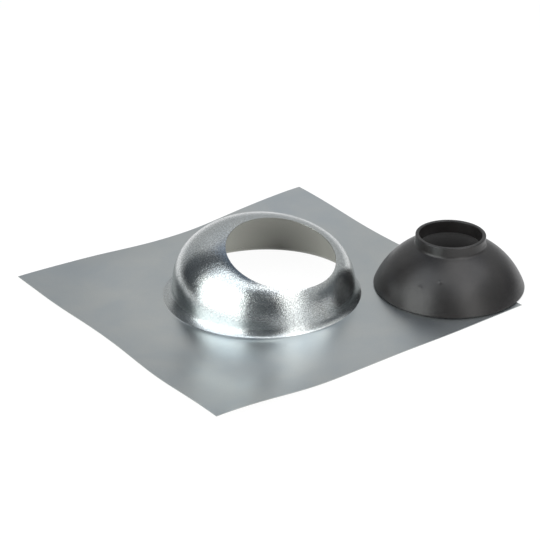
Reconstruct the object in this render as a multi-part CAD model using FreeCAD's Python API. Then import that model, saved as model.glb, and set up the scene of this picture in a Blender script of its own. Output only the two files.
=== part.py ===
"""No-caulk roof flashing for a vent pipe: a drawn steel sheet and its loose rubber collar.

Frame: +Z out of the roof, origin where the dome's axis meets the underside of the sheet.
The tilted pipe hole leans towards -Y, the uphill side of a sloping roof. Millimetres.
"""
import os

import FreeCAD
import Part
from math import asin, cos, hypot, pi, radians, sin, sqrt
from FreeCAD import Vector

# Sheet: 28 gauge galvanised steel, about 12 in square, sheared with raw edges.
THICK = 0.5
SHEET_X = (-154.5, 152.5)
SHEET_Y = (-153.0, 147.5)
FLAT = 90.0                 # half side of the middle that stays flat on the roof
INNER_KNOTS = (-60.0, -20.0, 20.0, 60.0)
CORNER_RISE = {(-1, 1): 4.0, (-1, -1): 10.5, (1, 1): 7.0, (1, -1): 0.0}
EDGE_RISE = {(-1, 0): 4.3, (1, 0): 0.0, (0, 1): 0.0, (0, -1): 0.0}
EDGE_CALM = 0.2             # share of each half edge, from its middle, that keeps its height
DRAW_IN = {(-1, 0): 4.0, (1, 0): 2.0, (0, 1): 7.5, (0, -1): 2.0}    # poles' pull, mid edge
DRAW_REACH = 85.0           # half the length of edge that the drawing of the dome pulled in

# Dome, drawn from the same sheet.
DOME_FOOT_R = 83.0          # outer edge of the rounded foot
FOOT_FILLET = 6.5
DOME_R = DOME_FOOT_R - FOOT_FILLET
DOME_LOW_Z = THICK + FOOT_FILLET
HOLE_R = 46.0
HOLE_Y = -25.5
HOLE_Z = 46.2
HOLE_TILT = 16.8            # degrees, close to a roof pitch of 4 in 12
BACK_POWER = 0.855          # how fast the uphill and downhill walls rise and lean in
FRONT_RISE_POWER = 1.6
FRONT_LEAN_POWER = 4.5
SECTION_ANGLES = (0, 4, 10, 18, 27, 36, 45, 54, 63, 72, 81, 90)

# Collar: one moulding of black rubber, a ball that seats under the hole, and a neck.
COLLAR_AT = (132.0, -86.8)
BALL_R = 68.1
COLLAR_FOOT_R = 63.7
BALL_DEPTH = sqrt(BALL_R**2 - COLLAR_FOOT_R**2)
BALL_WALL = 3.0
COLLAR_H = 46.8
NECK_R = 28.4
PIPE_GRIP_R = 26.0
NECK_FILLET = 2.5
LIP_ROUND = 0.8
FOOT_ROUND = 1.0


def smooth(t):
    """Zero to one, level at both ends."""
    return t * t * (3.0 - 2.0 * t)


def edge_rise(u, v):
    """Height of the sheet's border in the direction (u, v) from its middle, both -1 to 1."""
    corner = (1 if u > 0 else -1, 1 if v > 0 else -1)
    side = (corner[0], 0) if abs(u) >= abs(v) else (0, corner[1])
    along = min(abs(u), abs(v)) / max(abs(u), abs(v))
    blend = smooth(max(0.0, (along - EDGE_CALM) / (1.0 - EDGE_CALM)))
    return EDGE_RISE[side] * (1.0 - blend) + CORNER_RISE[corner] * blend


def margin_knots(low, high):
    """Knots that leave the middle flat and give each margin three spans to bend in."""
    left = [low + (-FLAT - low) * i / 3.0 for i in range(3)]
    right = [high + (FLAT - high) * i / 3.0 for i in (2, 1, 0)]
    return left + [-FLAT, *INNER_KNOTS, FLAT] + right


def bend(pole, low, high):
    """Share of the border's height that a pole takes: none up to a third of the margin."""
    edge = high if pole > 0 else -low
    share = (abs(pole) - FLAT) / (edge - FLAT)
    return max(0.0, 1.5 * share - 0.5)


def draw_in(side, pole, low, high, along):
    """How far a pole is pulled towards the dome: most in the middle of an edge."""
    if abs(along) >= DRAW_REACH:
        return 0.0
    inward = -1.0 if pole > 0 else 1.0
    return inward * DRAW_IN[side] * bend(pole, low, high) * cos(pi * along / (2 * DRAW_REACH))**2


def pole_places(knots):
    """Where cubic poles stand so that the surface runs evenly across the sheet."""
    full = [knots[0]] * 3 + knots + [knots[-1]] * 3
    return [sum(full[i + 1:i + 4]) / 3.0 for i in range(len(knots) + 2)]


def sheet_surface():
    """Square whose corners spring up and whose edges curve in a little, as a cubic spline."""
    knots_x = margin_knots(*SHEET_X)
    knots_y = margin_knots(*SHEET_Y)
    poles = []
    for x in pole_places(knots_x):
        row = []
        for y in pole_places(knots_y):
            u = x / (SHEET_X[1] if x > 0 else -SHEET_X[0])
            v = y / (SHEET_Y[1] if y > 0 else -SHEET_Y[0])
            share = max(bend(x, *SHEET_X), bend(y, *SHEET_Y))
            pull_x = draw_in((1 if x > 0 else -1, 0), x, *SHEET_X, y)
            pull_y = draw_in((0, 1 if y > 0 else -1), y, *SHEET_Y, x)
            rise = share * edge_rise(u, v) if share else 0.0
            row.append(Vector(x + pull_x, y + pull_y, rise))
        poles.append(row)
    mults = [4] + [1] * (len(knots_x) - 2) + [4]
    surface = Part.BSplineSurface()
    surface.buildFromPolesMultsKnots(poles, mults, mults, knots_x, knots_y, False, False, 3, 3)
    return surface


def sheet_blank():
    """The sheared sheet with a round opening left for the dome's foot."""
    sheet = sheet_surface().toShape().extrude(Vector(0, 0, THICK))
    opening = Part.makeCylinder(FLAT, 4 * THICK, Vector(0, 0, -THICK))
    return sheet.cut(opening)


def foot_ring():
    """Flat ring and rounded foot that join the sheet to the dome, revolved."""
    centre = Vector(DOME_FOOT_R, 0, DOME_LOW_Z)
    edge = FOOT_FILLET + THICK

    def on_arc(radius, angle):
        return centre + Vector(radius * cos(radians(angle)), 0, radius * sin(radians(angle)))

    under = Part.Arc(on_arc(edge, 270), on_arc(edge, 225), on_arc(edge, 180)).toShape()
    upper = Part.Arc(on_arc(FOOT_FILLET, 180), on_arc(FOOT_FILLET, 225),
                     on_arc(FOOT_FILLET, 270)).toShape()
    rim_low = Vector(FLAT, 0, 0)
    rim_high = Vector(FLAT, 0, THICK)
    profile = Part.Wire([
        Part.makeLine(rim_low, on_arc(edge, 270)), under,
        Part.makeLine(on_arc(edge, 180), on_arc(FOOT_FILLET, 180)), upper,
        Part.makeLine(on_arc(FOOT_FILLET, 270), rim_high), Part.makeLine(rim_high, rim_low)])
    return Part.Face(profile).revolve(Vector(0, 0, 0), Vector(0, 0, 1), 360)


def wall_points(angle):
    """Points of the uphill and downhill walls in the YZ plane, at 0 (foot) to 90 (hole)."""
    tilt = radians(HOLE_TILT)
    front_end = (HOLE_Y - HOLE_R * cos(tilt), HOLE_Z - HOLE_R * sin(tilt))
    back_end = (HOLE_Y + HOLE_R * cos(tilt), HOLE_Z + HOLE_R * sin(tilt))
    rise = sin(radians(angle))
    stay = max(cos(radians(angle)), 0.0)
    front = (front_end[0] - (DOME_R + front_end[0]) * stay**FRONT_LEAN_POWER,
             DOME_LOW_Z + (front_end[1] - DOME_LOW_Z) * rise**FRONT_RISE_POWER)
    back = (back_end[0] + (DOME_R - back_end[0]) * stay,
            DOME_LOW_Z + (back_end[1] - DOME_LOW_Z) * rise**BACK_POWER)
    return front, back


def inset_points(angle, inset):
    """The same two points moved square to the walls, into the dome."""
    step = 0.2
    moved = []
    for side, inward in ((0, 1.0), (1, -1.0)):
        here = wall_points(angle)[side]
        before = wall_points(max(angle - step, 0.0))[side]
        after = wall_points(min(angle + step, 90.0))[side]
        run = (after[0] - before[0], after[1] - before[1])
        length = hypot(*run)
        moved.append((here[0] + inward * inset * run[1] / length,
                      here[1] - inward * inset * run[0] / length))
    return moved


def dome_circle(angle, inset):
    """The circle whose diameter joins the two walls."""
    front, back = inset_points(angle, inset)
    if angle == 0:
        front, back = (inset - DOME_R, DOME_LOW_Z), (DOME_R - inset, DOME_LOW_Z)
    reach = (back[0] - front[0], back[1] - front[1])
    middle = Vector(0, (front[0] + back[0]) / 2, (front[1] + back[1]) / 2)
    circle = Part.Circle(middle, Vector(0, -reach[1], reach[0]), hypot(*reach) / 2)
    return Part.Wire(circle.toShape())


def dome_solid(inset):
    """Loft through circles that tilt from level at the foot to the slope of the hole."""
    return Part.makeLoft([dome_circle(a, inset) for a in SECTION_ANGLES], True, False)


def dome_shell():
    """The drawn wall, open below, with its tilted round pipe hole."""
    tilt = radians(HOLE_TILT)
    axis = Vector(0, -sin(tilt), cos(tilt))
    middle = Vector(0, HOLE_Y, HOLE_Z)
    punch = Part.makeCylinder(HOLE_R - THICK, 12 * THICK, middle - axis * 6 * THICK, axis)
    return dome_solid(0.0).cut(dome_solid(THICK)).cut(punch)


def steel_flashing():
    """Sheet, foot and dome as the one sheet of steel that they are."""
    return sheet_blank().fuse([foot_ring(), dome_shell()])


def rubber_collar():
    """Thin ball with an upright neck, revolved and set down on the sheet."""
    ball_z = -BALL_DEPTH
    inner_r = BALL_R - BALL_WALL
    fillet_x = NECK_R + NECK_FILLET
    fillet_z = ball_z + sqrt((BALL_R + NECK_FILLET)**2 - fillet_x**2)
    touch = BALL_R / (BALL_R + NECK_FILLET)
    ball_top = Vector(fillet_x * touch, 0, ball_z + (fillet_z - ball_z) * touch)
    neck_low = Vector(NECK_R, 0, fillet_z)
    lean = asin((fillet_z - ball_z) / (BALL_R + NECK_FILLET)) / 2
    fillet_mid = Vector(fillet_x - NECK_FILLET * cos(lean), 0, fillet_z - NECK_FILLET * sin(lean))

    def on_ball(radius, height):
        return Vector(sqrt(radius**2 - (height - ball_z)**2), 0, height)

    outer_mid = on_ball(BALL_R, ball_top.z / 2)
    outer = Part.Arc(on_ball(BALL_R, 0), outer_mid, ball_top).toShape()
    fillet = Part.Arc(ball_top, fillet_mid, neck_low).toShape()
    grip_low = ball_z + sqrt(inner_r**2 - PIPE_GRIP_R**2)
    inner = Part.Arc(Vector(PIPE_GRIP_R, 0, grip_low), on_ball(inner_r, grip_low / 2),
                     on_ball(inner_r, 0)).toShape()
    top_out = Vector(NECK_R, 0, COLLAR_H)
    top_in = Vector(PIPE_GRIP_R, 0, COLLAR_H)
    profile = Part.Wire([
        outer, fillet, Part.makeLine(neck_low, top_out), Part.makeLine(top_out, top_in),
        Part.makeLine(top_in, Vector(PIPE_GRIP_R, 0, grip_low)), inner,
        Part.makeLine(on_ball(inner_r, 0), on_ball(BALL_R, 0))])
    collar = Part.Face(profile).revolve(Vector(0, 0, 0), Vector(0, 0, 1), 360)
    lip = [e for e in collar.Edges if abs(e.BoundBox.ZMin - COLLAR_H) < 0.01]
    collar = collar.makeFillet(LIP_ROUND, lip)
    foot = [e for e in collar.Edges if e.BoundBox.ZMax < 0.01 and e.BoundBox.XMax > COLLAR_FOOT_R - 1]
    collar = collar.makeFillet(FOOT_ROUND, foot)
    collar.translate(Vector(COLLAR_AT[0], COLLAR_AT[1], THICK))
    return collar


os.makedirs("parts", exist_ok=True)
for name, shape in (("steel_flashing", steel_flashing()), ("rubber_collar", rubber_collar())):
    solid = shape.Solids[0]
    solid.exportStep("parts/%s.step" % name)
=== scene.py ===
"""Roof flashing for a vent pipe, dressed: a drawn galvanised sheet and its loose rubber collar."""
from math import cos, pi, radians, sin, sqrt

import bpy
import numpy as np
from mathutils import Matrix, Vector


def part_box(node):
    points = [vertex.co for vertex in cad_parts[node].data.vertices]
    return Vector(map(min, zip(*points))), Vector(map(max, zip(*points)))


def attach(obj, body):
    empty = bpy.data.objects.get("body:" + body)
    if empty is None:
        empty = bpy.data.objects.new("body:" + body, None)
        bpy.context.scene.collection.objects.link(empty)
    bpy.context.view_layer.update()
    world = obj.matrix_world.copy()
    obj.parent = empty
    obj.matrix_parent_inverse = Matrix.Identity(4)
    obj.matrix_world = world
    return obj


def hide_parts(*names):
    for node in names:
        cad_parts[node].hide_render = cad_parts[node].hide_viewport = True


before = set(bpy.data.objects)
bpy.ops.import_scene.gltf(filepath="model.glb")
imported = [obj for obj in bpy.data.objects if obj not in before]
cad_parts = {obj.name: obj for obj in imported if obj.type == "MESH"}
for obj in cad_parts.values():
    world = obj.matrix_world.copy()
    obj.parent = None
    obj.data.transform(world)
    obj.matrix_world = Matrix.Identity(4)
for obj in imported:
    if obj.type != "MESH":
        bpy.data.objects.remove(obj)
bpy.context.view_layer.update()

# --- Steel flashing ---------------------------------------------------------
# One square of 28 gauge galvanised sheet. The dome with its tilted pipe hole is
# drawn from the middle, which pulls the edges in a little and leaves the corners sprung.

MM = 0.001
THICK = 0.5
FLAT = 90.0                 # half side of the middle that stays flat on the roof
INNER_KNOTS = [-60.0, -20.0, 20.0, 60.0]
CORNER_RISE = np.array([[10.5, 4.0], [0.0, 7.0]])   # by side: x low or high, y low or high
LEFT_EDGE_RISE = 4.3
EDGE_CALM = 0.2             # share of each half edge, from its middle, that keeps its height
DRAW_X = np.array([4.0, 2.0])       # pull inwards at mid edge, on the low and the high side
DRAW_Y = np.array([2.0, 7.5])
DRAW_REACH = 85.0           # half the length of edge that the pull reaches
SWELL_BROAD = 0.09          # half the lift of the loose margins off the roof, in long waves
SWELL_FINE = 0.05           # and in shorter ones
DENT = (-96.2, -139.0)
DENT_DEPTH = 0.3
DENT_WIDTH = 1.8
FOOT_R = 83.0
FOOT_SLOPE = radians(28)    # how steeply the flare meets the flat, in a crisp crease
FOOT_SPREAD = 2.4           # the flare was pressed a little wider on the left
FOOT_SPREAD_TURN = radians(150)
DOME_BACK_R = 76.5          # where the wall leaves the flared foot, downhill and uphill
DOME_FRONT_R = 79.0
DOME_LOW_Z = 8.8
BACK_POWER = 0.855          # the long downhill wall rises early
EVEN_LEAN, LATE_LEAN = 0.72, 0.28   # shares of the uphill wall's lean, even and near the rim
HOLE_R = 46.0
HOLE_Y = -25.5
HOLE_Z = 46.2
HOLE_TILT = radians(16.8)
QUARTER_STEPS = 90          # grid steps from one corner of the sheet to the next
SHEET_STEPS = 46
FOOT_STEPS = 16
WALL_STEPS = 62
FOOT_STRETCH = (0.8, 0.5)   # how far the metal is stretched at the top and toe of the foot
WORN_FROM, WORN_OVER = 112.0, 68.0  # the dull handled margin starts here and grows over this
WORN_MID_X, WORN_FADE = 20.0, 25.0  # and it fades away towards the right
ZINC_COOL = (0.530, 0.565, 0.575)
ZINC_WARM = (0.585, 0.605, 0.595)
WORN_TINT = -0.13
# Underside zinc colour, made darker than the top as painted shade inside the dome.
UNDERSIDE_ZINC_WITH_SHADE = (0.455, 0.46, 0.42)
# A round spot of painted shade low inside the dome, towards its back: the underside colour falls to
# a third at its middle.
SHADE_SPOT_AT = (0.056, 0.051, 0.004)
SHADE_SPOT_R = 0.045
SPANGLE_BUMP = 0.00011      # metres, the crazed zinc of the dome
ROLLED_BUMP = 0.000012      # metres, the fine grain of the flat

sheet_low, sheet_high = (np.array(corner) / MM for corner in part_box("steel_flashing"))


def smooth_step(share):
    """Nought below 0, one above 1, and level at both: three squares less two cubes."""
    share = np.clip(share, 0.0, 1.0)
    return share * share * (3.0 - 2.0 * share)


def cubic_weights(places, knots):
    """Share of each pole of a clamped cubic spline at each place, by Cox and de Boor's rule:
    a weight of one degree more is the two neighbours', each times its run through its span."""
    full = np.concatenate([[knots[0]] * 3, knots, [knots[-1]] * 3])
    places = np.clip(places, full[0], full[-1] - 1e-9)[:, None]
    weights = ((full[:-1] <= places) & (places < full[1:])).astype(float)
    for degree in (1, 2, 3):
        left, right = full[:-degree - 1], full[degree + 1:]
        rising = np.maximum(full[degree:-1] - left, 1e-9)
        falling = np.maximum(right - full[1:-degree], 1e-9)
        weights = ((places - left) / rising * weights[:, :-1]
                   + (right - places) / falling * weights[:, 1:])
    return weights


def margin_knots(low, high):
    """Knots that leave the middle flat and give each margin three spans to bend in."""
    steps = np.arange(3) / 3.0
    left = low + (-FLAT - low) * steps
    right = high + (FLAT - high) * steps[::-1]
    return np.concatenate([left, [-FLAT], INNER_KNOTS, [FLAT], right])


def pole_places(knots):
    """Each cubic pole stands at the mean of its three knots, so the net runs evenly."""
    full = np.concatenate([[knots[0]] * 3, knots, [knots[-1]] * 3])
    return (full[1:-3] + full[2:-2] + full[3:-1]) / 3.0


def bend_share(pole, low, high):
    """Share of the border's shape that a pole takes: none up to a third of the margin, then
    evenly more, up to all of it at the border."""
    edge = np.where(pole > 0, high, -low)
    return np.maximum(0.0, 1.5 * (np.abs(pole) - FLAT) / (edge - FLAT) - 0.5)


def sheet_shift(x, y):
    """How far each point of the flat blank has moved, from a net of spline poles.
    Up: the border's height, blended from mid edge to corner. Inwards: the pull of the draw,
    which falls off from mid edge as a squared cosine."""
    knots = [margin_knots(sheet_low[axis], sheet_high[axis]) for axis in (0, 1)]
    net_x, net_y = np.meshgrid(*(pole_places(k) for k in knots), indexing="ij")
    share_x = bend_share(net_x, sheet_low[0], sheet_high[0])
    share_y = bend_share(net_y, sheet_low[1], sheet_high[1])
    u = np.abs(net_x) / np.where(net_x > 0, sheet_high[0], -sheet_low[0])
    v = np.abs(net_y) / np.where(net_y > 0, sheet_high[1], -sheet_low[1])
    along = np.minimum(u, v) / np.maximum(np.maximum(u, v), 1e-9)
    blend = smooth_step((along - EDGE_CALM) / (1.0 - EDGE_CALM))
    edge = np.where((u >= v) & (net_x < 0), LEFT_EDGE_RISE, 0.0)
    corner = CORNER_RISE[(net_x > 0).astype(int), (net_y > 0).astype(int)]
    rise = np.maximum(share_x, share_y) * (edge * (1.0 - blend) + corner * blend)

    def pull(net, beside, share, amount):
        fade = np.cos(pi * np.clip(beside / DRAW_REACH, -1, 1) / 2)**2
        return -np.sign(net) * amount[(net > 0).astype(int)] * share * fade

    nets = (pull(net_x, net_y, share_x, DRAW_X), pull(net_y, net_x, share_y, DRAW_Y), rise)
    weights_x = cubic_weights(x.ravel(), knots[0])
    weights_y = cubic_weights(y.ravel(), knots[1])
    moved = [np.einsum("ni,ij,nj->n", weights_x, net, weights_y) for net in nets]
    return np.stack(moved, axis=-1).reshape(x.shape + (3,))


def around_angles():
    """Angles round the sheet with a grid line through each corner, corner to corner evenly."""
    corners = [np.arctan2(sheet_high[1], sheet_high[0]), np.arctan2(sheet_high[1], sheet_low[0]),
               np.arctan2(sheet_low[1], sheet_low[0]) + 2 * pi,
               np.arctan2(sheet_low[1], sheet_high[0]) + 2 * pi]
    corners.append(corners[0] + 2 * pi)
    steps = np.arange(4 * QUARTER_STEPS) / QUARTER_STEPS
    return np.interp(steps, np.arange(5), corners)


def crease_radius(angle):
    """Radius of the round crease: even, with a spread that falls off as a squared cosine."""
    return FOOT_R + FOOT_SPREAD * np.maximum(0.0, np.cos(angle - FOOT_SPREAD_TURN))**2


def sheet_rows(angle):
    """Flat margin: straight lines from the dome's round foot out to the square border, then
    the spline's shift, a faint swell that starts by a smooth step away from the foot, and
    one small round dent that dies away as a bell curve."""
    reach_x = np.where(np.cos(angle) > 0, sheet_high[0], -sheet_low[0])
    reach_y = np.where(np.sin(angle) > 0, sheet_high[1], -sheet_low[1])
    border = 1.0 / np.maximum(np.abs(np.cos(angle)) / reach_x, np.abs(np.sin(angle)) / reach_y)
    share = np.linspace(0.0, 1.0, SHEET_STEPS + 1)[:, None]**1.25   # rows close up to the foot
    radius = crease_radius(angle) * (1.0 - share) + border * share
    x, y = radius * np.cos(angle), radius * np.sin(angle)
    swell = (SWELL_BROAD * (1.0 + np.sin(x / 23.0 + 1.3) * np.sin(y / 31.0 + 0.4))
             + SWELL_FINE * (1.0 + np.sin(x / 11.0 - y / 14.0)))
    points = np.stack([x, y, np.full_like(x, THICK)], axis=-1) + sheet_shift(x, y)
    points[..., 2] += swell * smooth_step(share * 1.8)
    from_dent = np.hypot(x - DENT[0], y - DENT[1])
    points[..., 2] -= DENT_DEPTH * np.exp(-(from_dent / DENT_WIDTH)**2)
    return points


def foot_rows(angle, wall_low, wall_next):
    """Flared foot: a cubic curve that goes straight on from the wall's own slope, then bends
    out to the round crease in the flat."""
    share = np.linspace(0.0, 1.0, FOOT_STEPS + 1)[:-1, None, None]
    radius = crease_radius(angle)
    crease = np.stack([radius * np.cos(angle), radius * np.sin(angle),
                       THICK + 0.0 * angle], axis=-1)
    slope = wall_low - wall_next
    width = np.linalg.norm((crease - wall_low)[:, :2], axis=-1)
    turn_z = THICK + np.tan(FOOT_SLOPE) * width
    turn = wall_low + slope * ((turn_z - wall_low[:, 2]) / slope[:, 2])[:, None]
    halfway = (wall_low + turn) / 2
    return ((1 - share)**3 * wall_low + 3 * share * (1 - share)**2 * halfway
            + 3 * share**2 * (1 - share) * turn + share**3 * crease)


def wall_rows(angle):
    """Dome: circles whose diameter joins the uphill and the downhill wall, tilting from level
    at the foot to the slope of the hole. From rim to foot a quarter turn gives each wall its
    height by a sine, and its place by a cosine on the long downhill side. The short uphill
    wall leans in by what is left of the sine, part of it evenly and part near the rim."""
    turn = np.linspace(pi / 2, 0.0, WALL_STEPS)[:, None]
    rise, stay = np.sin(turn), np.cos(turn)
    front_y, front_z = HOLE_Y - HOLE_R * cos(HOLE_TILT), HOLE_Z - HOLE_R * sin(HOLE_TILT)
    back_y, back_z = HOLE_Y + HOLE_R * cos(HOLE_TILT), HOLE_Z + HOLE_R * sin(HOLE_TILT)
    lean = EVEN_LEAN * (1.0 - rise) + LATE_LEAN * (1.0 - rise**4)
    wall_front_y = front_y - (DOME_FRONT_R + front_y) * lean
    wall_front_z = DOME_LOW_Z + (front_z - DOME_LOW_Z) * rise
    wall_back_y = back_y + (DOME_BACK_R - back_y) * stay
    wall_back_z = DOME_LOW_Z + (back_z - DOME_LOW_Z) * rise**BACK_POWER
    half_y, half_z = (wall_back_y - wall_front_y) / 2, (wall_back_z - wall_front_z) / 2
    x = np.hypot(half_y, half_z) * np.cos(angle)
    y = (wall_back_y + wall_front_y) / 2 + half_y * np.sin(angle)
    z = (wall_back_z + wall_front_z) / 2 + half_z * np.sin(angle)
    return np.stack([x, y, z], axis=-1)


def closed_grid(name, rows, attributes=()):
    """A grid that closes both ways becomes one shell; each value in attributes is a name and
    an array of one number or vector per point."""
    down, around = rows.shape[:2]
    index = np.arange(down * around).reshape(down, around)
    beside = np.roll(index, -1, axis=1)
    faces = np.stack([index, np.roll(index, -1, axis=0),
                      np.roll(beside, -1, axis=0), beside], axis=-1).reshape(-1, 4)
    mesh = bpy.data.meshes.new(name)
    mesh.from_pydata((rows.reshape(-1, 3) * MM).tolist(), [], faces.tolist())
    for key, values in attributes:
        kind = "FLOAT" if values.ndim == 2 else "FLOAT_VECTOR"
        layer = mesh.attributes.new(key, kind, "POINT")
        layer.data.foreach_set("value" if values.ndim == 2 else "vector", values.ravel())
    mesh.shade_smooth()
    mesh.set_sharp_from_angle(angle=radians(40))
    piece = bpy.data.objects.new(name, mesh)
    bpy.context.scene.collection.objects.link(piece)
    return piece


def flashing_shell():
    """Top face from the hole's rim to the border, and the same face one thickness below.
    With each point go how far its metal is stretched, the angle and the run down the wall
    that the drawn grain follows, whether it is underside, and how worn it is: a smooth step
    outwards from the dome, times a logistic curve that fades it to the right."""
    angle = around_angles()
    wall = wall_rows(angle)
    foot = foot_rows(angle, wall[-1], wall[-2])
    top = np.concatenate([wall, foot[1:], sheet_rows(angle)])
    down = np.gradient(top, axis=0)
    around = (np.roll(top, -1, axis=1) - np.roll(top, 1, axis=1)) / 2
    normal = np.cross(down, around)
    normal /= np.linalg.norm(normal, axis=-1, keepdims=True)
    normal[-SHEET_STEPS - 1:] = (0.0, 0.0, 1.0)     # the sheet's edge stays cut square
    under = top - THICK * normal
    run = np.cumsum(np.linalg.norm(down, axis=-1), axis=0)
    stretch = np.zeros(top.shape[:2])
    wall_stretch = np.minimum(1.0, np.linspace(8.0, FOOT_STRETCH[0], WALL_STEPS))
    stretch[:WALL_STEPS] = wall_stretch[:, None]
    foot_end = WALL_STEPS + FOOT_STEPS - 1
    stretch[WALL_STEPS:foot_end] = np.linspace(*FOOT_STRETCH, FOOT_STEPS - 1)[:, None]
    grain = np.stack([np.cos(angle) * FOOT_R + 0 * run, np.sin(angle) * FOOT_R + 0 * run,
                      run], axis=-1)
    underside = np.repeat([0.0, 1.0], len(top))[:, None] + 0 * angle
    worn = smooth_step((np.hypot(top[..., 0], top[..., 1]) - WORN_FROM) / WORN_OVER)
    worn /= 1.0 + np.exp((top[..., 0] - WORN_MID_X) / WORN_FADE)
    stretch, grain, worn = (np.concatenate([a, a[::-1]]) for a in (stretch, grain * MM, worn))
    return closed_grid("galvanised_flashing", np.concatenate([top, under[::-1]]),
                       (("stretch", stretch), ("draw_grain", grain), ("underside", underside),
                        ("worn", np.maximum(underside, worn))))


def nodes_of(material):
    """The material's node tree, its shader, and a short way to add a node: its inputs take
    a value or another node's socket."""
    material.use_nodes = True
    tree = material.node_tree
    shader = tree.nodes["Principled BSDF"]

    def add(kind, inputs=(), **settings):
        node = tree.nodes.new(kind)
        for key, value in settings.items():
            setattr(node, key, value)
        for key, value in dict(inputs).items():
            if isinstance(value, bpy.types.NodeSocket):
                tree.links.new(value, node.inputs[key])
            else:
                node.inputs[key].default_value = value
        return node

    return tree, shader, add


def spread(add, noise, low, high):
    """A noise texture mostly runs from 0.3 to 0.7: this turns that into low to high."""
    return add("ShaderNodeMapRange", {"Value": noise.outputs["Fac"], "From Min": 0.3,
                                      "From Max": 0.7, "To Min": low,
                                      "To Max": high}).outputs["Result"]


def cloudy_colour(add, noise, spots, colours):
    """Colour of a noise texture's value, blended evenly between two spots of its range."""
    ramp = add("ShaderNodeValToRGB", {"Fac": noise.outputs["Fac"]})
    for element, spot, colour in zip(ramp.color_ramp.elements, spots, colours):
        element.position = spot
        element.color = (*colour, 1)
    return ramp.outputs["Color"]


def steel_material():
    """Zinc coat: satin on the flat, duller where the margins are handled, brighter and
    crazed where the dome was stretched. Underneath it is darker all over, and darker still
    round one spot low on the back: both are painted shade inside the dome."""
    material = bpy.data.materials.new("galvanised_zinc")
    tree, shader, add = nodes_of(material)
    place = add("ShaderNodeTexCoord").outputs["Object"]
    stretch = add("ShaderNodeAttribute", attribute_name="stretch").outputs["Fac"]
    grain = add("ShaderNodeAttribute", attribute_name="draw_grain").outputs["Vector"]
    worn = add("ShaderNodeAttribute", attribute_name="worn").outputs["Fac"]
    underside = add("ShaderNodeAttribute", attribute_name="underside").outputs["Fac"]

    cloud = add("ShaderNodeTexNoise", {"Vector": place, "Scale": 22.0, "Detail": 3.0,
                                       "Roughness": 0.55, "Distortion": 0.4})
    colour = cloudy_colour(add, cloud, (0.34, 0.66), (ZINC_COOL, ZINC_WARM))
    grit = add("ShaderNodeTexNoise", {"Vector": place, "Scale": 950.0, "Detail": 1.0})
    fleck = add("ShaderNodeMix", {"Factor": stretch, "A": spread(add, grit, 0.985, 1.015),
                                  "B": spread(add, grit, 0.70, 1.20)}, data_type="FLOAT")
    fleck = add("ShaderNodeMath", {0: worn, 1: WORN_TINT, 2: fleck.outputs["Result"]},
                operation="MULTIPLY_ADD")
    tint = add("ShaderNodeVectorMath", {0: colour, "Scale": fleck.outputs["Value"]},
               operation="SCALE")
    # Painted shade: the underside colour darkens to a third towards one point low inside the dome.
    from_shade_spot = add("ShaderNodeVectorMath", {0: place, 1: SHADE_SPOT_AT}, operation="DISTANCE")
    shade_spot_factor = add("ShaderNodeMapRange", {"Value": from_shade_spot.outputs["Value"],
                                       "From Max": SHADE_SPOT_R, "To Min": 0.33, "To Max": 1.0})
    # The underside's zinc colour, darker than the top as painted shade inside the dome, times the
    # painted shade spot.
    underside_with_shade = add("ShaderNodeVectorMath", {0: UNDERSIDE_ZINC_WITH_SHADE, "Scale": shade_spot_factor.outputs["Result"]},
               operation="SCALE")
    face = add("ShaderNodeMix", {"Factor": underside, "A": tint.outputs["Vector"],
                                 "B": underside_with_shade.outputs["Vector"]}, data_type="RGBA")
    tree.links.new(face.outputs["Result"], shader.inputs["Base Color"])

    rub = add("ShaderNodeTexNoise", {"Vector": place, "Scale": 60.0, "Detail": 4.0})
    satin = add("ShaderNodeMath", {0: worn, 1: 0.15, 2: spread(add, rub, 0.28, 0.31)},
                operation="MULTIPLY_ADD")
    rough = add("ShaderNodeMix", {"Factor": stretch, "A": satin.outputs["Value"],
                                  "B": spread(add, rub, 0.15, 0.22)}, data_type="FLOAT")
    tree.links.new(rough.outputs["Result"], shader.inputs["Roughness"])

    craze = add("ShaderNodeTexNoise", {"Vector": place, "Scale": 1250.0, "Detail": 1.0,
                                       "Roughness": 0.6})
    drawn = add("ShaderNodeMapping", {"Vector": grain, "Scale": (1.0, 1.0, 0.12)})
    streak = add("ShaderNodeTexNoise", {"Vector": drawn.outputs["Vector"], "Scale": 260.0,
                                        "Detail": 2.0})
    craze_depth = add("ShaderNodeMath", {0: craze.outputs["Fac"], 1: stretch},
                      operation="MULTIPLY")
    streak_depth = add("ShaderNodeMath", {0: streak.outputs["Fac"], 1: stretch},
                       operation="MULTIPLY")
    depth = add("ShaderNodeMath", {0: streak_depth.outputs["Value"], 1: 0.5,
                                   2: craze_depth.outputs["Value"]}, operation="MULTIPLY_ADD")
    crazing = add("ShaderNodeBump", {"Strength": 1.0, "Distance": SPANGLE_BUMP,
                                     "Height": depth.outputs["Value"]})
    flat_grain = add("ShaderNodeBump", {"Strength": 1.0, "Distance": ROLLED_BUMP,
                                        "Height": rub.outputs["Fac"],
                                        "Normal": crazing.outputs["Normal"]})
    tree.links.new(flat_grain.outputs["Normal"], shader.inputs["Normal"])
    shader.inputs["Metallic"].default_value = 1.0
    return material


flashing = flashing_shell()
flashing.data.materials.append(steel_material())
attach(flashing, "root")
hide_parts("steel_flashing")

# --- Rubber collar ----------------------------------------------------------
# One compression moulding of black rubber: a thin ball that seats under the dome's
# hole, and an upright neck that grips the pipe. It lies loose on the sheet.

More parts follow.
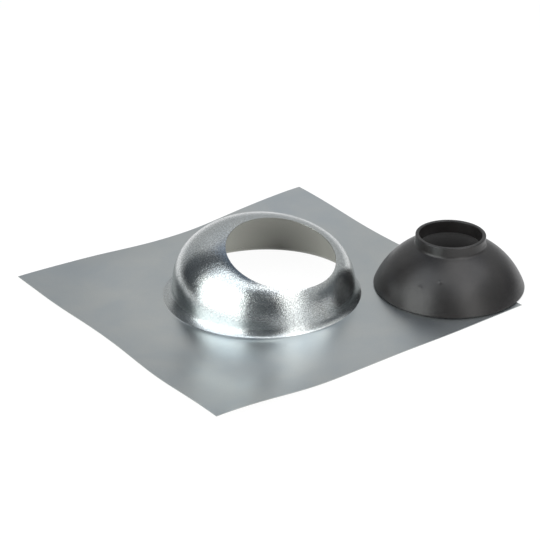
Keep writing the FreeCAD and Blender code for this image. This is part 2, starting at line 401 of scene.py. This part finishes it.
collar_low, collar_high = (np.array(corner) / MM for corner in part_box("rubber_collar"))
COLLAR_MIDDLE = (collar_low + collar_high) / 2
BALL_R = 68.8
COLLAR_FOOT_R = 64.4
BALL_Z = collar_low[2] - sqrt(BALL_R**2 - COLLAR_FOOT_R**2)
BALL_WALL = 3.0
NECK_R = 29.5
PIPE_GRIP_R = 26.3
NECK_FILLET = 2.5
LIP_ROUND = 0.8
FOOT_ROUND = 1.0
COLLAR_AROUND = 400
PIPS = ((82.7, -105.1, 19.6), (94.3, -116.1, 24.9))     # nubs left by the mould's air vents
PIP_HEIGHT = 0.7
PIP_WIDTH = 1.3
RUBBER_BLACK = (0.0125, 0.0113, 0.0110)
RUBBER_DUSTY = (0.021, 0.019, 0.0185)


def arc(middle, radius, start, end, steps):
    """Points of a circle's arc, from one angle to the other, ends included."""
    turn = np.linspace(start, end, steps + 1)
    return np.stack([middle[0] + radius * np.cos(turn), middle[1] + radius * np.sin(turn)], axis=-1)


def collar_profile():
    """Radius and height of the moulding's section, closed: up the ball outside, round the
    fillet, up the neck, over the lip, down the bore and the ball inside, round the foot."""
    top = collar_high[2]
    fillet_r = NECK_R + NECK_FILLET
    fillet_z = BALL_Z + sqrt((BALL_R + NECK_FILLET)**2 - fillet_r**2)
    lean = np.arctan2(fillet_z - BALL_Z, fillet_r)
    inner_r = BALL_R - BALL_WALL
    foot_up = np.arcsin((collar_low[2] + FOOT_ROUND - BALL_Z) / (BALL_R - FOOT_ROUND))
    foot_middle = ((BALL_R - FOOT_ROUND) * np.cos(foot_up), collar_low[2] + FOOT_ROUND)
    inner_low = np.arcsin((collar_low[2] - BALL_Z) / inner_r)
    grip = np.arccos(PIPE_GRIP_R / inner_r)
    grip_z = BALL_Z + inner_r * sin(grip)
    neck = [(NECK_R, fillet_z + (top - LIP_ROUND - fillet_z) * k / 5) for k in range(1, 5)]
    bore = [(PIPE_GRIP_R, top - LIP_ROUND + (grip_z - top + LIP_ROUND) * k / 6) for k in range(1, 6)]
    return np.concatenate([
        arc(foot_middle, FOOT_ROUND, -pi / 2, foot_up, 6),
        arc((0, BALL_Z), BALL_R, foot_up, lean, 62)[1:],
        arc((fillet_r, fillet_z), NECK_FILLET, lean + pi, pi, 8)[1:],
        neck,
        arc((NECK_R - LIP_ROUND, top - LIP_ROUND), LIP_ROUND, 0, pi / 2, 5),
        arc((PIPE_GRIP_R + LIP_ROUND, top - LIP_ROUND), LIP_ROUND, pi / 2, pi, 5),
        bore,
        arc((0, BALL_Z), inner_r, grip, inner_low, 44)])


def collar_shell():
    """The section turned about the upright axis through the collar's middle; each pip
    lifts the skin outwards by a bell curve of its distance."""
    profile = collar_profile()
    turn = np.linspace(0, 2 * pi, COLLAR_AROUND, endpoint=False)
    rows = np.stack([COLLAR_MIDDLE[0] + profile[:, :1] * np.cos(turn),
                     COLLAR_MIDDLE[1] + profile[:, :1] * np.sin(turn),
                     profile[:, 1:] + 0 * turn], axis=-1)
    outward = rows - np.array([*COLLAR_MIDDLE[:2], BALL_Z])
    outward /= np.linalg.norm(outward, axis=-1, keepdims=True)
    for pip in PIPS:
        apart = np.linalg.norm(rows - np.array(pip), axis=-1, keepdims=True)
        rows = rows + PIP_HEIGHT * np.exp(-(apart / PIP_WIDTH)**2) * outward
    return closed_grid("moulded_collar", rows[::-1])


def rubber_material():
    """Black rubber with a dull moulded skin and a little grey dust from the release powder."""
    material = bpy.data.materials.new("black_moulded_rubber")
    tree, shader, add = nodes_of(material)
    place = add("ShaderNodeTexCoord").outputs["Object"]
    bloom = add("ShaderNodeTexNoise", {"Vector": place, "Scale": 38.0, "Detail": 4.0,
                                       "Roughness": 0.6})
    colour = cloudy_colour(add, bloom, (0.35, 0.70), (RUBBER_BLACK, RUBBER_DUSTY))
    tree.links.new(colour, shader.inputs["Base Color"])
    skin = add("ShaderNodeTexNoise", {"Vector": place, "Scale": 520.0, "Detail": 3.0})
    tree.links.new(spread(add, skin, 0.31, 0.39), shader.inputs["Roughness"])
    bump = add("ShaderNodeBump", {"Strength": 1.0, "Distance": 0.00004,
                                  "Height": skin.outputs["Fac"]})
    tree.links.new(bump.outputs["Normal"], shader.inputs["Normal"])
    return material


collar = collar_shell()
collar.data.materials.append(rubber_material())
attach(collar, "root")
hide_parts("rubber_collar")

# --- Studio -----------------------------------------------------------------
# A pale floor, a soft grey room that dims overhead, four softboxes, and three dark
# cards that the metal mirrors. The softboxes and cards are hidden from the camera.


def stage_plane(name, corners, material):
    """Flat plane of the studio between four corners, which is no part of the product."""
    mesh = bpy.data.meshes.new(name)
    mesh.from_pydata(corners, [], [(0, 1, 2, 3)])
    mesh.materials.append(material)
    plane = bpy.data.objects.new(name, mesh)
    bpy.context.scene.collection.objects.link(plane)
    return plane


def matt_material(name, colour):
    """One plain colour with hardly any sheen."""
    material = bpy.data.materials.new(name)
    shader = nodes_of(material)[1]
    shader.inputs["Base Color"].default_value = (*colour, 1)
    shader.inputs["Roughness"].default_value = 0.9
    shader.inputs["Specular IOR Level"].default_value = 0.2
    return material


def towards(bearing, height):
    """Direction from its bearing, in degrees clockwise from +Y, and its height in degrees:
    the sines and cosines of both."""
    turn, lift = radians(bearing), radians(height)
    return Vector((sin(turn) * cos(lift), cos(turn) * cos(lift), sin(lift)))


def softbox(name, bearing, height, distance, width, tall, radiance, colour):
    """Area lamp aimed at the part. Its power is its face's area times pi times radiance."""
    lamp = bpy.data.lights.new(name, "AREA")
    lamp.shape = "RECTANGLE"
    lamp.size, lamp.size_y = width, tall
    lamp.energy = radiance * pi * width * tall
    lamp.color = colour
    holder = bpy.data.objects.new(name, lamp)
    bpy.context.scene.collection.objects.link(holder)
    back = towards(bearing, height)
    holder.location = back * distance
    holder.rotation_euler = back.to_track_quat("Z", "Y").to_euler()
    holder.visible_camera = False


# The floor is lit as plain matt board, and also glows white to the camera and to rays
# off metal or through glass. The glow is dimmed under the dome and under the collar,
# where little light comes in.
FLOOR_HALF = 6.0
GLOW_SHARE = 0.88
GLOW_STRENGTH = 1.08
board = matt_material("studio_floor", (0.85, 0.85, 0.85))
tree, shader, add = nodes_of(board)
ray = add("ShaderNodeLightPath").outputs
glow = add("ShaderNodeMath", {0: ray["Is Glossy Ray"], 1: ray["Is Transmission Ray"]},
           operation="MAXIMUM").outputs["Value"]
place = add("ShaderNodeTexCoord").outputs["Object"]
for middle, radius, kept, beyond in (((0, 0), FOOT_R, 0.45, 0.86),
                                     (COLLAR_MIDDLE[:2], COLLAR_FOOT_R, 0.27, 1.0)):
    apart = add("ShaderNodeVectorMath", {0: place, 1: (middle[0] * MM, middle[1] * MM, 0)},
                operation="DISTANCE")
    open_floor = add("ShaderNodeMapRange", {
        "Value": apart.outputs["Value"], "From Min": (radius - 2) * MM, "From Max": radius * MM,
        "To Min": kept, "To Max": beyond}).outputs["Result"]
    glow = add("ShaderNodeMath", {0: glow, 1: open_floor}, operation="MULTIPLY").outputs["Value"]
looked_at = add("ShaderNodeMath", {0: ray["Is Camera Ray"], 1: open_floor}, operation="MULTIPLY")
seen = add("ShaderNodeMath", {0: looked_at.outputs["Value"], 1: glow}, operation="MAXIMUM")
share = add("ShaderNodeMath", {0: seen.outputs["Value"], 1: GLOW_SHARE}, operation="MULTIPLY")
white = add("ShaderNodeEmission", {"Color": (1, 1, 1, 1), "Strength": GLOW_STRENGTH})
mix = add("ShaderNodeMixShader", {0: share.outputs["Value"], 1: shader.outputs["BSDF"],
                                  2: white.outputs["Emission"]})
tree.links.new(mix.outputs["Shader"], tree.nodes["Material Output"].inputs["Surface"])
floor_corners = ((-FLOOR_HALF, -FLOOR_HALF, 0), (FLOOR_HALF, -FLOOR_HALF, 0),
                 (FLOOR_HALF, FLOOR_HALF, 0), (-FLOOR_HALF, FLOOR_HALF, 0))
stage_plane("studio_floor", floor_corners, board)

CARD_DISTANCE = 1.2
for name, tone, corners in (
        ("card_left", 0.11, ((-66, -2), (-17, -2), (25, 74), (-14, 72))),
        ("card_front", 0.13, ((-167, -4), (-120, -4), (-113, 60), (-150, 60))),
        ("card_right", 0.15, ((94, -8), (153, -8), (149, 15), (94, 17)))):
    card = stage_plane(name, [towards(*corner) * CARD_DISTANCE for corner in corners],
                       matt_material(name, (tone * 0.94, tone, tone * 1.08)))
    card.visible_camera = False

# For each: bearing, height, distance, the face's width and height, radiance and colour.
softbox("softbox_key", -89.5, 20, 1.3, 1.54, 1.1, 2.7, (0.96, 1.0, 0.985))
softbox("softbox_high", -83, 58, 1.3, 1.40, 0.85, 1.75, (0.97, 1.0, 1.0))
softbox("softbox_fill", -180, 25, 1.3, 0.50, 1.3, 1.45, (1.0, 0.985, 0.955))
softbox("softbox_top", 150, 62, 0.85, 0.80, 0.72, 1.9, (1.0, 0.985, 0.96))

world = bpy.data.worlds.new("studio")
bpy.context.scene.world = world
world.use_nodes = True
sky = world.node_tree
direction = sky.nodes.new("ShaderNodeTexCoord").outputs["Generated"]
split = sky.nodes.new("ShaderNodeSeparateXYZ")
ramp = sky.nodes.new("ShaderNodeValToRGB")
sky.links.new(direction, split.inputs["Vector"])
sky.links.new(split.outputs["Z"], ramp.inputs["Fac"])
sky.links.new(ramp.outputs["Color"], sky.nodes["Background"].inputs["Color"])
# Tones of the room by height, from low on the walls to overhead.
tones = ((0.15, (0.50, 0.51, 0.515)), (0.40, (0.56, 0.57, 0.57)), (0.62, (0.73, 0.735, 0.74)),
         (0.82, (0.23, 0.30, 0.42)), (1.0, (0.13, 0.165, 0.22)))
while len(ramp.color_ramp.elements) < len(tones):
    ramp.color_ramp.elements.new(0.5)
for element, (height, tone) in zip(ramp.color_ramp.elements, tones):
    element.position = height
    element.color = (*tone, 1)

# --- Camera -----------------------------------------------------------------
# A long lens from the left of the uphill side, looking down at the dome.

CAMERA_BEARING = radians(-36.291)
CAMERA_DIP = radians(26.184)
CAMERA_ROLL = radians(-0.938)
camera_data = bpy.data.cameras.new("camera")
camera_data.sensor_width = 36.0
camera_data.lens = 95.04
camera = bpy.data.objects.new("camera", camera_data)
bpy.context.scene.collection.objects.link(camera)
camera.location = (-0.63241, -0.87099, 0.54951)
turn = (Matrix.Rotation(CAMERA_BEARING, 3, "Z") @ Matrix.Rotation(pi / 2 - CAMERA_DIP, 3, "X")
        @ Matrix.Rotation(CAMERA_ROLL, 3, "Z"))
camera.rotation_euler = turn.to_euler()
bpy.context.scene.camera = camera
bpy.context.scene.view_settings.view_transform = "Standard"

bpy.context.view_layer.update()
